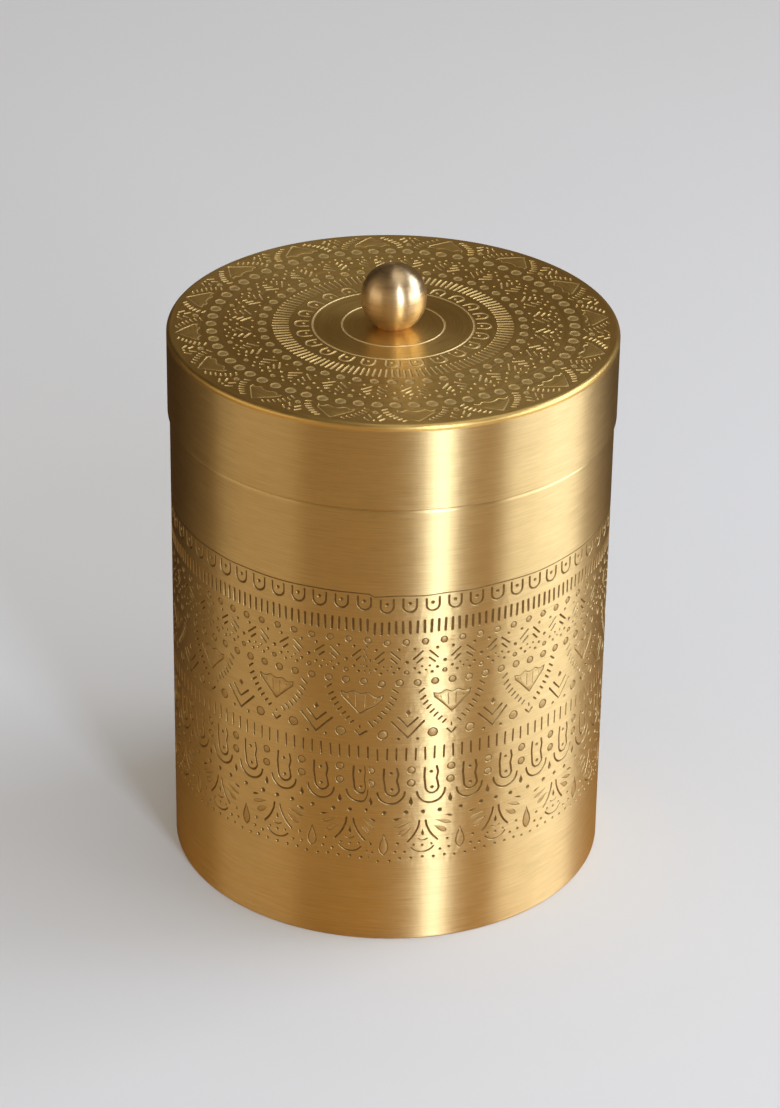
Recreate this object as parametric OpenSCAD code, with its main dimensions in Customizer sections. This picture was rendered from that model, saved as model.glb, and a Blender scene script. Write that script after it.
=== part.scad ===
// Round brass cookie tin with a lift-off lid and a ball knob.
// The origin is the centre of the resting plane and +Z is up. All sizes are millimetres.

/* [Body] */
// Outside diameter of the body
body_d = 104; // [90:1:130]
// Height of the lid's lower edge above the table
seam_z = 114.7; // [80:0.1:160]
// Thickness of the rolled body sheet
wall_t = 1.0; // [0.8:0.1:1.4]
// Radius of the rounded shoulder at the mouth, under the lid's edge
shoulder_r = 1.3; // [1.1:0.1:1.6]
// Radius of the dressed outer edge at the foot
foot_r = 0.5; // [0.3:0.1:0.7]

/* [Base] */
// Thickness of the base disc
base_t = 1.0; // [0.8:0.1:1.6]
// Height of the base disc above the table
base_recess = 1.5; // [0.5:0.1:3]

/* [Neck] */
// Thickness of the neck collar
neck_t = 0.8; // [0.6:0.1:1.2]
// Length of neck that stands above the lid's lower edge
neck_h = 15; // [8:0.5:17]
// Length of neck soldered inside the body
neck_lap = 8; // [4:0.5:12]

/* [Lid] */
// Overall height of the lid, without its knob
lid_h = 21; // [20:0.1:30]
// Thickness of the lid's skirt
skirt_t = 1.3; // [1:0.1:1.6]
// Radial gap between skirt and neck
lid_gap = 0.2; // [0.1:0.05:0.3]
// Thickness of the lid's top plate
plate_t = 1.5; // [1.4:0.1:2]
// Radius of the rounded edge round the top plate
plate_edge_r = 1.4; // [0.8:0.1:1.4]

/* [Turned rings] */
// Radius of the ring turned round the knob
inner_ring_r = 11.9; // [9:0.1:14]
// Radius of the ring that bounds the plain centre
outer_ring_r = 18.7; // [16:0.1:22]
// Width of each turned ring
ring_w = 0.4; // [0.2:0.1:0.6]
// Depth of each turned ring
ring_depth = 0.2; // [0.1:0.05:0.3]

/* [Knob] */
// Diameter of the ball knob
knob_d = 15.2; // [12:0.1:20]
// Straight length between the knob's two half balls
knob_waist = 0.9; // [0:0.1:3]
// Radius of the knob's flat foot
knob_foot_r = 3.7; // [3:0.1:4.5]

/* [Knob screw] */
// Nominal diameter of the knob screw
screw_d = 4; // [3:0.5:5]
// Length of the screw under its head
screw_len = 8; // [7:0.5:10]
// Diameter of the screw head
screw_head_d = 8; // [7:0.1:9]
// Height of the screw head
screw_head_h = 2.6; // [2:0.1:3]
// Outside diameter of the washer
washer_d = 9; // [9:0.5:12]
// Thickness of the washer
washer_t = 0.8; // [0.5:0.1:1]

/* [Hidden] */
$fn = 128;

body_r = body_d / 2;
body_in_r = body_r - wall_t;
neck_in_r = body_in_r - neck_t;
neck_edge_r = neck_t / 2;
skirt_in_r = body_in_r + lid_gap;
lid_r = skirt_in_r + skirt_t;
lid_top_z = seam_z + lid_h;
plate_z = lid_top_z - plate_t;

// The skirt's inner corner rests on the rounded shoulder, which sets the shoulder's height.
shoulder_c_r = body_r - shoulder_r;
shoulder_c_z = seam_z - sqrt(pow(shoulder_r, 2) - pow(skirt_in_r - shoulder_c_r, 2));

knob_r = knob_d / 2;
knob_low_c = sqrt(pow(knob_r, 2) - pow(knob_foot_r, 2));
screw_r = screw_d / 2;
thread_gap = 0.03;
hole_gap = 0.15;
knob_hole_depth = 7;
head_dome_r = 6;
slot_w = 1.1;
slot_l = 4.4;
slot_depth = 1.4;
overlap = 1;

brass = "#b8924f";
brass_knob = "#c9a468";
steel = "#b9bcc0";

// A ring of revolution about Z between two radii and two heights.
module tube(r_out, r_in, z_low, z_high) {
    translate([0, 0, z_low])
        difference() {
            cylinder(r = r_out, h = z_high - z_low);
            translate([0, 0, -overlap])
                cylinder(r = r_in, h = z_high - z_low + 2 * overlap);
        }
}

// A shallow ring cut down into a flat top at height z.
module turned_groove(r, z) {
    tube(r + ring_w / 2, r - ring_w / 2, z - ring_depth, z + overlap);
}

// Half section of the side wall: straight sheet, rounded shoulder on top, rounded foot edge below.
module body_section() {
    intersection() {
        union() {
            translate([body_in_r - overlap, foot_r])
                square([wall_t + overlap, shoulder_c_z - foot_r]);
            translate([body_in_r - overlap, 0])
                square([wall_t + overlap - foot_r, foot_r]);
            translate([body_r - foot_r, foot_r])
                circle(r = foot_r);
            translate([shoulder_c_r, shoulder_c_z])
                circle(r = shoulder_r);
        }
        translate([body_in_r, 0])
            square([wall_t, seam_z + shoulder_r]);
    }
}

module body_shell() {
    color(brass)
        rotate_extrude()
            body_section();
}

module base_disc() {
    color(brass)
        translate([0, 0, base_recess])
            cylinder(r = body_in_r, h = base_t);
}

// Ring inside the mouth that the lid slides over, with a rounded top edge.
module neck_collar() {
    low = shoulder_c_z - neck_lap;
    edge_c_z = seam_z + neck_h - neck_edge_r;
    color(brass)
        rotate_extrude()
            union() {
                translate([neck_in_r, low])
                    square([neck_t, edge_c_z - low]);
                translate([neck_in_r + neck_edge_r, edge_c_z])
                    circle(r = neck_edge_r);
            }
}

// Half section of the top plate: flat disc with a rounded upper edge.
module plate_section() {
    square([lid_r - plate_edge_r, plate_t]);
    square([lid_r, plate_t - plate_edge_r]);
    intersection() {
        translate([lid_r - plate_edge_r, plate_t - plate_edge_r])
            circle(r = plate_edge_r);
        square([lid_r, plate_t]);
    }
}

module lid_plate() {
    color(brass)
        difference() {
            translate([0, 0, plate_z])
                rotate_extrude()
                    plate_section();
            translate([0, 0, plate_z - overlap])
                cylinder(r = screw_r + hole_gap, h = plate_t + 2 * overlap);
            turned_groove(inner_ring_r, lid_top_z);
            turned_groove(outer_ring_r, lid_top_z);
        }
}

module lid_skirt() {
    color(brass)
        tube(lid_r, skirt_in_r, seam_z, plate_z);
}

// Turned ball on a flat foot, tapped from below for the screw.
module knob() {
    color(brass_knob)
        translate([0, 0, lid_top_z])
            difference() {
                intersection() {
                    union() {
                        translate([0, 0, knob_low_c])
                            sphere(r = knob_r);
                        translate([0, 0, knob_low_c])
                            cylinder(r = knob_r, h = knob_waist);
                        translate([0, 0, knob_low_c + knob_waist])
                            sphere(r = knob_r);
                    }
                    cylinder(r = knob_d, h = 2 * knob_d);
                }
                translate([0, 0, -overlap])
                    cylinder(r = screw_r + thread_gap, h = knob_hole_depth + overlap);
            }
}

module knob_washer() {
    color(steel)
        tube(washer_d / 2, screw_r + hole_gap, plate_z - washer_t, plate_z);
}

// Pan-head screw, head down, with a cross recess.
module knob_screw() {
    head_z = plate_z - washer_t;
    color(steel)
        translate([0, 0, head_z]) {
            cylinder(r = screw_r, h = screw_len);
            difference() {
                intersection() {
                    translate([0, 0, -screw_head_h])
                        cylinder(d = screw_head_d, h = screw_head_h);
                    translate([0, 0, head_dome_r - screw_head_h])
                        sphere(r = head_dome_r);
                }
                for (turn = [0, 90])
                    rotate([0, 0, turn])
                        translate([-slot_l / 2, -slot_w / 2, -screw_head_h - overlap])
                            cube([slot_l, slot_w, slot_depth + overlap]);
            }
        }
}

body_shell();
base_disc();
neck_collar();
lid_plate();
lid_skirt();
knob();
knob_washer();
knob_screw();
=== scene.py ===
import math
import random

import bpy
from mathutils import Matrix, Vector, noise
from mathutils.geometry import delaunay_2d_cdt


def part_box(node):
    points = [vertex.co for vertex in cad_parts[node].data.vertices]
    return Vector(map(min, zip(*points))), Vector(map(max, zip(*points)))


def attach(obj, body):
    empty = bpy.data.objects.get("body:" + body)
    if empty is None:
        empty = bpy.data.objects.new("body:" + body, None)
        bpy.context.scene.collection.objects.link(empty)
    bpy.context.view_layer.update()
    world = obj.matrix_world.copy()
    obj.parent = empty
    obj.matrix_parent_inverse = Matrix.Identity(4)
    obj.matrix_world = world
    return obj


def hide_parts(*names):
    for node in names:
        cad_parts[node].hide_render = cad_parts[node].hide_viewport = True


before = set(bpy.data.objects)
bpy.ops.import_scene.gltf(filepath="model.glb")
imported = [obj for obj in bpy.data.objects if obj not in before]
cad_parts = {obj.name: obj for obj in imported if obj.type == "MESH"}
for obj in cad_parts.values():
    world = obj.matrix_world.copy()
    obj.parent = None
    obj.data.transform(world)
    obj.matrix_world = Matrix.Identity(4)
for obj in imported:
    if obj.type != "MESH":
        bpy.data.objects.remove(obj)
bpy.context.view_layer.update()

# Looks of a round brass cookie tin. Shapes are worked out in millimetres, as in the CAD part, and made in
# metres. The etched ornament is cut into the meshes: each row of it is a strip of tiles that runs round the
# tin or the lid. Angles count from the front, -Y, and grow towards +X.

MM = 0.001
TURN = 2 * math.pi
SEED = 7


# ---------------------------------------------------------------- sizes from the CAD parts

def top(node):
    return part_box(node)[1].z / MM


def bottom(node):
    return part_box(node)[0].z / MM


def radii(node):
    """Smallest and largest distance of a node's points from the tin's axis, in mm."""
    distances = [math.hypot(v.co.x, v.co.y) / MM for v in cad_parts[node].data.vertices]
    return min(distances), max(distances)


BODY_IN_R, BODY_R = radii("body_shell")
BODY_TOP = top("body_shell")
NECK_IN_R, NECK_R = radii("neck_collar")
SKIRT_IN_R, LID_R = radii("lid_skirt")
SEAM_Z = bottom("lid_skirt")
PLATE_Z = bottom("lid_plate")
LID_TOP = top("lid_plate")
KNOB_R = radii("knob")[1]
NECK_TOP = top("neck_collar")
SCREW_HEAD_Z = bottom("knob_screw")
WASHER_IN_R, WASHER_R = radii("knob_washer")


# ---------------------------------------------------------------- mesh building

def polar(r, angle, z):
    """The point, or direction, at an angle round the axis."""
    return (r * math.sin(angle), -r * math.cos(angle), z)


class Skin:
    """Points, faces and corner normals of one mesh, in mm, made into an object at the end. A point's etched
    value is 0 on the plain surface and 1 at the bottom of a recess, and the brass changes colour with it.
    Its worked value is 1 where the sheet carries ornament."""

    def __init__(self):
        self.points = []
        self.etched = []
        self.worked = []
        self.faces = []
        self.normals = []
        self.slots = []

    def point(self, place, etched=0.0, worked=0.0):
        self.points.append(place)
        self.etched.append(etched)
        self.worked.append(worked)
        return len(self.points) - 1

    def face(self, corners, normals=(), slot=0):
        self.faces.append(corners)
        self.normals.extend(normals)
        self.slots.append(slot)

    def build(self, name, body, nodes, materials):
        mesh = bpy.data.meshes.new(name)
        mesh.from_pydata([(x * MM, y * MM, z * MM) for x, y, z in self.points], [], self.faces)
        for material in materials:
            mesh.materials.append(material)
        mesh.polygons.foreach_set("material_index", self.slots)
        mesh.shade_smooth()
        if self.normals:
            mesh.normals_split_custom_set(self.normals)
        mesh.attributes.new("etched", "FLOAT", "POINT").data.foreach_set("value", self.etched)
        mesh.attributes.new("worked", "FLOAT", "POINT").data.foreach_set("value", self.worked)
        piece = bpy.data.objects.new(name, mesh)
        bpy.context.scene.collection.objects.link(piece)
        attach(piece, body)
        if nodes:
            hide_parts(*nodes)


def zip_rings(skin, low, high, normal_at):
    """Joins two closed rings of (angle, point) with triangles. Seen from outside, low is under high."""
    low = sorted(low)
    high = sorted(high)
    start = min(range(len(high)), key=lambda k: abs(high[k][0] - low[0][0]))
    i, j = 0, 0
    while i < len(low) or j < len(high):
        low_now = low[i % len(low)]
        high_now = high[(start + j) % len(high)]
        low_next = low[(i + 1) % len(low)][0] + TURN * ((i + 1) // len(low))
        high_next = high[(start + j + 1) % len(high)][0] + TURN * ((start + j + 1) // len(high))
        if j == len(high) or (i < len(low) and low_next <= high_next):
            corner = low[(i + 1) % len(low)]
            i += 1
        else:
            corner = high[(start + j + 1) % len(high)]
            j += 1
        corners = [low_now, corner, high_now]
        skin.face([c[1] for c in corners], [normal_at(c[0]) for c in corners])


# ---------------------------------------------------------------- outlines of the ornament

class Cut:
    """One recess, as nested loops: its rim, the foot of its sloping wall and, where it is only a groove
    round a flat middle, the rim of that shelf. A loop has its points, their depth and how etched they count.
    run is the width of the wall, dark is the foot's etched value and fill is the shelf's share of it.
    Depths count from base, which is below the surface for a cut inside another. A fixed cut has no play."""

    def __init__(self, rim, run=0.14, depth=0.22, dark=1.0, shelf=None, fill=0.15, base=0.0, fixed=False):
        area = sum(a[0] * b[1] - b[0] * a[1] for a, b in zip(rim, rim[1:] + rim[:1]))
        if area < 0:
            rim = rim[::-1]
        self.style = dict(run=run, depth=depth, dark=dark, shelf=shelf, fill=fill, base=base, fixed=fixed)
        self.rim = rim
        self.run = run
        self.depth = depth
        self.shelf = shelf
        self.fixed = fixed
        self.inward = inward_directions(rim)
        self.loops = [(rim, base, 0.0), (self.inset(run), base + depth, dark)]
        if shelf is not None:
            self.loops.append((self.inset(2.2 * run), base + shelf, fill * dark))

    def inset(self, distance):
        return [(p[0] + distance * d[0], p[1] + distance * d[1]) for p, d in zip(self.rim, self.inward)]

    def slope(self, level, loop):
        """How far the normal leans inward at a loop, in the region just inside loop number level."""
        if level == 0:
            lean = 1.0 if loop == 0 else (0.0 if self.shelf is not None else 0.35)
            return lean * self.depth / self.run
        if level == 1 and self.shelf is not None:
            return -0.7 * (self.depth - self.shelf) / (1.2 * self.run) if loop == 2 else 0.0
        return -0.12 if level == 2 and loop == 2 else 0.0


def inward_directions(loop):
    """Mitred inward direction at each corner of a counter-clockwise loop. Sharp corners are held back."""
    out = []
    for before, here, after in zip(loop[-1:] + loop[:-1], loop, loop[1:] + loop[:1]):
        a = unit((here[0] - before[0], here[1] - before[1]))
        b = unit((after[0] - here[0], after[1] - here[1]))
        stretch = max(1 + a[0] * b[0] + a[1] * b[1], 0.35)
        out.append((-(a[1] + b[1]) / stretch, (a[0] + b[0]) / stretch))
    return out


def unit(v):
    length = math.hypot(*v)
    return (v[0] / length, v[1] / length)


def arc(x, y, rx, ry, start, end, steps):
    """Points on an ellipse from one angle to another, in degrees."""
    turns = [math.radians(start + (end - start) * k / steps) for k in range(steps + 1)]
    return [(x + rx * math.cos(t), y + ry * math.sin(t)) for t in turns]


def dot(x, y, r, sides=10, **cut):
    return Cut(arc(x, y, r, r, 0, 360 - 360 / sides, sides - 1), **cut)


def stroke(line, width, cap=3, **cut):
    """A line of constant width with round ends."""
    half = width / 2
    sides = []
    last = len(line) - 1
    for k, (x, y) in enumerate(line):
        before = line[max(k - 1, 0)]
        after = line[min(k + 1, last)]
        a = unit((after[0] - before[0], after[1] - before[1]))
        sides.append((x, y, -a[1], a[0]))
    right = [(x - half * nx, y - half * ny) for x, y, nx, ny in sides]
    left = [(x + half * nx, y + half * ny) for x, y, nx, ny in sides]
    first_end, last_end = round_end(sides[0], half, cap, -1), round_end(sides[-1], half, cap, 1)
    return Cut(right + last_end + left[::-1] + first_end, **cut)


def round_end(side, half, cap, sign):
    """Points between the two corners of a stroke's end."""
    x, y, nx, ny = side
    out = []
    for k in range(1, cap + 1):
        t = math.pi * k / (cap + 1)
        across, along = -math.cos(t) * sign, math.sin(t) * sign
        out.append((x + half * (nx * across + ny * along), y + half * (ny * across - nx * along)))
    return out


def leaf(tip, end, width, **cut):
    """A leaf with a sharp tip and a round end, along a straight axis."""
    dx, dy = end[0] - tip[0], end[1] - tip[1]
    ax, ay = unit((dx, dy))
    length = math.hypot(dx, dy)
    right, left = [], []
    for t in (0.22, 0.45, 0.68, 0.86, 0.96):
        half = width / 2 * math.sin(math.pi * t ** 1.6) ** 0.75
        px, py = tip[0] + ax * length * t, tip[1] + ay * length * t
        right.append((px + ay * half, py - ax * half))
        left.append((px - ay * half, py + ax * half))
    return Cut([tip] + right + [end] + left[::-1], **cut)


PLACE_PLAY = 0.05
TURN_PLAY = 0.04
GROW_PLAY = (0.97, 1.03)
DEPTH_PLAY = (0.85, 1.1)


def by_hand(cut, chance):
    """A copy of a cut, a little off in place, turn, size and depth. A fixed cut stays as it is."""
    dx = chance.uniform(-PLACE_PLAY, PLACE_PLAY)
    dy = chance.uniform(-PLACE_PLAY, PLACE_PLAY)
    turned = chance.uniform(-TURN_PLAY, TURN_PLAY)
    grow = chance.uniform(*GROW_PLAY)
    deeper = chance.uniform(*DEPTH_PLAY)
    if cut.fixed:
        return cut
    mx = sum(p[0] for p in cut.rim) / len(cut.rim)
    my = sum(p[1] for p in cut.rim) / len(cut.rim)
    c, s = math.cos(turned), math.sin(turned)
    rim = []
    for x, y in cut.rim:
        ox, oy = (x - mx) * grow, (y - my) * grow
        rim.append((mx + dx + ox * c - oy * s, my + dy + ox * s + oy * c))
    return Cut(rim, **dict(cut.style, depth=cut.depth * deeper))


# ---------------------------------------------------------------- motifs

# Shapes of one tile of ornament, in mm. y = 0 is the row's upper line and y grows towards its upper side.

FINE = dict(run=0.13, depth=0.22)
PUNCH = dict(run=0.17, depth=0.26)
RINGED = dict(run=0.2, depth=0.2, shelf=0.03)
FILLED = dict(run=0.28, depth=0.22, shelf=0.06, fill=0.4)
HOLLOW = dict(run=0.08, depth=0.16, shelf=0.07)


def punch(x, y, r, sides=10):
    return dot(x, y, r, sides, **PUNCH)


def gentler(cuts, share=1.5):
    """The same cuts with wider sloping walls, where there is room for them."""
    return [cut if cut.fixed else Cut(cut.rim, **dict(cut.style, run=cut.run * share)) for cut in cuts]


def arch_motif(height=3.9, half=1.5, line=0.58):
    """An upright U with a dot in it."""
    foot = half - height + line / 2
    curve = [(-half, -line / 2), (-half, foot / 2)] + arc(0, foot, half, half, 180, 360, 10)
    curve += [(half, foot / 2), (half, -line / 2)]
    return [stroke(curve, line, **FINE), punch(0, foot + 0.65, 0.5)]


def dash_motif(length=3.65, width=0.68):
    return [stroke([(0, -width / 2), (0, -length + width / 2)], width, run=0.14, depth=0.24)]


def coin_motif(radius, style=RINGED):
    return [dot(0, 0, radius, sides=16, **style)]


def chevron_motif(layers=2, wide=1.0, line=0.52):
    """A roof of slanting dashes over a V of dots, with two dots on its left."""
    cuts = []
    for side in (-wide, wide):
        cuts += [
            punch(2.6 * side, -0.45, 0.42),
            stroke([(0.8 * side, -1.1), (2.85 * side, -3.0)], line, **FINE),
            stroke([(0.8 * side, -2.9), (2.1 * side, -4.1)], line, **FINE),
            stroke([(0.8 * side, -4.5), (1.4 * side, -5.05)], line, **FINE)
            if layers > 2
            else punch(0.88 * side, -5.05, 0.33),
            punch(2.65 * side, -5.55, 0.42),
            punch(1.48 * side, -6.75, 0.42),
        ]
    cuts.append(punch(0, -6.1, 0.3))
    cuts.append(punch(-4.4 * wide, -3.9, 0.5))
    cuts.append(dot(-4.4 * wide, -6.7, 0.72, sides=12, **RINGED))
    return cuts


def fan_shape(half, height, drop, ribs):
    """A shell-like fan: scalloped along the top, with sides that meet in a point, and faint ribs inside."""
    swell = 0.3 if ribs else 0.42
    middle = 1.0 if ribs else 1.5

    def scallop(x):
        share = abs(x / half)
        return drop - 0.42 * share ** 2 - swell * math.cos(3 * math.pi * share ** middle)

    def side(x):
        return drop - 1.3 - (height - 1.3) * (1 - abs(x) / half) ** 1.08

    share = [k / 7 for k in range(-7, 8)]
    upper = [(half * t, scallop(half * t)) for t in share]
    lower = [(half * t, side(half * t)) for t in (-0.94, -0.6, -0.3, 0.0, 0.3, 0.6, 0.94)]
    cuts = [Cut(lower + upper[::-1], fixed=True, **dict(RINGED, run=0.18))]
    rib = dict(run=0.1, depth=0.07, dark=0.3, base=RINGED["shelf"], fixed=True)
    for k in range(ribs):
        x = half * (2 * (k + 1) / (ribs + 1) - 1)
        cuts.append(stroke([(x, scallop(x) - 0.85), (0.94 * x, side(x) + 1.15)], 0.3, cap=1, **rib))
    return cuts


def fan_motif(pitch, tall=6.0, drop=-1.3, squeeze=1.0, dashes=8, full=True, line=0.52):
    """A fan between two slanting rows of dashes. On its left are a lozenge and chevrons, or only a coin."""
    cuts = fan_shape(4.6, tall, drop, 4 if full else 0)
    for side in (-1, 1):
        for k in range(dashes):
            t = k / 7
            x = 7.2 - 5.4 * t ** 1.35
            y = -0.66 - 8.7 * t ** 0.8
            reach = 0.46 - 0.12 * t
            lean = 1.25 - 0.2 * t
            ends = [(side * (x + reach * lean), y - reach), (side * (x - reach * lean), y + reach)]
            cuts.append(stroke([(px, py * squeeze) for px, py in ends], line, **FINE))
    middle = -pitch / 2
    if not full:
        for side in (-1, 1):
            cuts.append(stroke([(middle + side * 1.4, -3.4), (middle + side * 0.65, -4.6)], line, **FINE))
            cuts.append(stroke([(middle + side * 2.2, -4.9), (middle + side * 1.2, -6.0)], line, **FINE))
        cuts.append(dot(middle, -2.0, 0.85, sides=12, **RINGED))
        cuts.append(punch(middle, -5.9, 0.42))
        return cuts
    lozenge = [(0, -5.4), (-0.75, -6.4), (0, -7.4), (0.75, -6.4)]
    cuts.append(Cut([(middle + x, y) for x, y in lozenge], run=0.26, depth=0.2, dark=0.8))
    for half, high, low in ((2.25, -7.7, -10.1), (3.7, -8.75, -12.95)):
        cuts.append(stroke([(middle - half, high), (middle, low), (middle + half, high)], 0.6, **FINE))
    for side in (-1, 1):
        cuts.append(punch(middle + side * 2.2, -13.35, 0.45))
        cuts.append(dot(side * 4.45, -12.0, 1.3, sides=18, **RINGED))
    cuts.append(stroke([(0, -10.1), (0, -10.8)], 0.4, **FINE))
    cuts.append(stroke([(-1.0, -11.6), (0, -12.7), (1.0, -11.6)], 0.56, **FINE))
    return cuts


def cup_motif(pitch):
    """A tall wavy U in an open bowl, with two coins and a drop on its left."""
    wave = [(-1.45, -0.9), (-1.6, -3.4), (-1.35, -5.9)] + arc(0.3, -6.35, 1.6, 1.75, 190, 350, 8)
    wave += [(1.6, -5.1), (1.4, -4.2), (1.75, -2.4), (1.45, -0.9)]
    return [
        stroke(wave, 0.58, **FINE),
        punch(0, -2.15, 0.46),
        punch(0.25, -6.4, 0.48),
        stroke(arc(0.1, -7.1, 3.25, 3.3, 182, 358, 12), 0.58, **FINE),
        dot(-pitch / 2, -1.3, 1.08, sides=16, **RINGED),
        dot(-pitch / 2, -4.8, 1.1, sides=16, **RINGED),
        leaf((-pitch / 2, -8.4), (-pitch / 2, -10.9), 1.1, **PUNCH),
    ]


def palmette_motif(pitch):
    """A palm of leaves over a small smiling arc, with a drop on its left and dots round them."""
    middle = -pitch / 2
    cuts = [punch(x, -0.75, r, sides=12) for x, r in ((0.0, 0.6), (3.95, 0.6), (-3.95, 0.6), (middle, 0.56))]
    for side in (-1, 1):
        arm = [(0.72, -3.15), (0.95, -4.6), (1.7, -6.4), (2.5, -7.7), (3.6, -8.95)]
        cuts += [
            stroke([(side * x, y) for x, y in arm], 0.56, **FINE),
            leaf((side * 5.0, -2.2), (side * 7.1, -2.85), 0.7, **FINE),
            leaf((side * 2.9, -3.35), (side * 6.9, -4.8), 1.05, **HOLLOW),
            leaf((side * 2.6, -4.95), (side * 5.75, -6.95), 1.45, **HOLLOW),
        ]
        for x, y in ((5.9, -9.15), (6.4, -11.45), (4.2, -11.75)):
            cuts.append(punch(side * x, y, 0.42))
        cuts.append(punch(side * 2.1, -9.85, 0.36))
        cuts.append(punch(side * 2.7, -13.5, 0.42))
        cuts.append(punch(side * 5.3, -13.4, 0.42))
        cuts.append(punch(middle + side * 1.35, -13.8, 0.4))
    return cuts + [
        leaf((0, -5.4), (0, -7.4), 0.75, **FINE),
        stroke(arc(0, -7.6, 1.3, 1.05, 215, 325, 4), 0.34, **FINE),
        punch(0, -10.05, 0.4),
        stroke(arc(0, -9.0, 3.2, 3.0, 212, 328, 8), 0.46, **FINE),
        punch(0, -13.4, 0.42),
        leaf((middle, -6.1), (middle, -12.3), 2.5, **RINGED),
    ]


# ---------------------------------------------------------------- strips of tiles

class Strip:
    """A row of equal tiles. The motif's y = 0 is at height start; the strip runs from high down to low.
    edge is the tile's right-hand border as (x, y) points from the top down, in the motif's coordinates.
    phase shifts the whole row along, and slip shifts only its part left of the seam."""

    def __init__(self, count, start, high, low, motif, edge=None, phase=0.0, slip=0.0):
        self.count = count
        self.start = start
        self.high = high
        self.low = low
        self.motif = motif
        self.edge = edge
        self.phase = phase
        self.slip = slip


SLIP_WHOLE = 1.2
SLIP_GONE = 4.9
SLIP_TAKEN_UP = 1.7


def slipped(angle, slip, radius):
    """The angle of a point of a row that has slipped. Going left from the seam, the row slips within
    SLIP_TAKEN_UP times the slip, and loses it again between SLIP_WHOLE and SLIP_GONE, in radians."""
    past = (SEAM_ANGLE - angle) % TURN
    begin = min(1.0, past * radius / (SLIP_TAKEN_UP * abs(slip) + 0.01))
    fade = max(0.0, min(1.0, (SLIP_GONE - past) / (SLIP_GONE - SLIP_WHOLE)))
    return (angle + slip / radius * begin * fade * fade * (3 - 2 * fade)) % TURN


def inside(point, loop):
    x, y = point
    result = False
    for (ax, ay), (bx, by) in zip(loop, loop[1:] + loop[:1]):
        if (ay > y) != (by > y) and x < (bx - ax) * (y - ay) / (by - ay) + ax:
            result = not result
    return result


class Sheet:
    """Flat points and closed outlines, to be triangulated. Each point stands for a spot on the skin. A point
    may have a mark, and the region just inside an outline may have an area, to say what they belong to."""

    def __init__(self):
        self.flat = []
        self.spots = []
        self.marks = []
        self.outlines = []
        self.areas = []

    def add(self, point, spot, mark=None):
        self.flat.append(point)
        self.spots.append(spot)
        self.marks.append(mark)

    def outline(self, count, area=None):
        """Makes an outline of the points added last. They run counter-clockwise."""
        end = len(self.flat)
        self.outlines.append(list(range(end - count, end)))
        self.areas.append(area)

    def triangles(self):
        """Each triangle's corners, and the area of the innermost outline round it."""
        points = [Vector(p) for p in self.flat]
        _, _, triangles, sources, _, holders = delaunay_2d_cdt(points, [], self.outlines, 1, 1e-7, True)
        if any(len(source) != 1 for source in sources):
            raise ValueError("outlines of the ornament cross")
        for triangle, holder in zip(triangles, holders):
            if holder:
                yield [sources[k][0] for k in triangle], self.areas[max(holder)]


TILE_STEP = 1.6


def lay_strip(skin, strip, place, radius, chance):
    """Cuts one strip's tiles into a skin and returns its lower and upper rings."""
    pitch = TURN * radius / strip.count
    top_y, low_y = strip.high - strip.start, strip.low - strip.start
    edge = strip.edge or [(pitch / 2, top_y), (pitch / 2, low_y)]
    edge = [(edge[0][0], top_y)] + edge[1:-1] + [(edge[-1][0], low_y)]
    left_edge = [(x - pitch, y) for x, y in edge]
    steps = max(1, round(pitch / TILE_STEP))
    top_row = [(left_edge[0][0] + pitch * k / steps, top_y) for k in range(1, steps)]
    low_row = [(left_edge[-1][0] + pitch * k / steps, low_y) for k in range(1, steps)]

    def locate(x, y, depth=0.0, dark=0.0):
        angle = slipped(((x + strip.phase) % (strip.count * pitch)) / radius, strip.slip, radius)
        return angle, skin.point(place(angle, strip.start + y, depth), dark, 1.0)

    sides, tops, lows = [], [], []
    for tile in range(strip.count):
        for row, spots in ((left_edge, sides), (top_row, tops), (low_row, lows)):
            spots.append([locate(x + tile * pitch, y) for x, y in row])

    for tile in range(strip.count):
        shift = tile * pitch
        sheet = Sheet()
        for row, spots in (
            (left_edge, sides[tile]),
            (low_row, lows[tile]),
            (edge[::-1], sides[(tile + 1) % strip.count][::-1]),
            (top_row[::-1], tops[tile][::-1]),
        ):
            for point, spot in zip(row, spots):
                sheet.add(point, spot)
        border = sheet.flat[:]
        sheet.outline(len(border))
        cuts = [by_hand(cut, chance) for cut in strip.motif]
        for cut in cuts:
            for number, (loop, depth, dark) in enumerate(cut.loops):
                for (x, y), inward in zip(loop, cut.inward):
                    sheet.add((x, y), locate(x + shift, y, depth, dark), (cut, number, inward))
                sheet.outline(len(loop), (cut, number))
        for x, y in loose_points(border, cuts, low_y, top_y):
            sheet.add((x, y), locate(x + shift, y))
        for corners, area in sheet.triangles():
            normals = [tile_normal(place, sheet.spots[k][0], sheet.marks[k], area) for k in corners]
            skin.face([sheet.spots[k][1] for k in corners], normals)
    low_ring = [spot for side, row in zip(sides, lows) for spot in [side[-1]] + row]
    top_ring = [spot for side, row in zip(sides, tops) for spot in [side[0]] + row]
    return low_ring, top_ring


def tile_normal(place, angle, mark, area):
    """The normal at a corner of a face. Outside the cuts it is the surface's own. In a cut it leans."""
    up = place.up(angle)
    if area is None or mark is None or area[0] is not mark[0]:
        return up
    cut, number, (x, y) = mark
    lean = cut.slope(area[1], number)
    normal = Vector(up) + (Vector(place.side(angle)) * x + Vector(place.rise(angle)) * y) * lean
    return normal.normalized()


def gap_to(point, loop):
    """Distance from a point to the nearest side of a closed loop."""
    x, y = point
    nearest = math.inf
    for (ax, ay), (bx, by) in zip(loop, loop[1:] + loop[:1]):
        dx, dy = bx - ax, by - ay
        t = ((x - ax) * dx + (y - ay) * dy) / (dx * dx + dy * dy)
        t = max(0.0, min(1.0, t))
        nearest = min(nearest, math.hypot(x - ax - t * dx, y - ay - t * dy))
    return nearest


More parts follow.
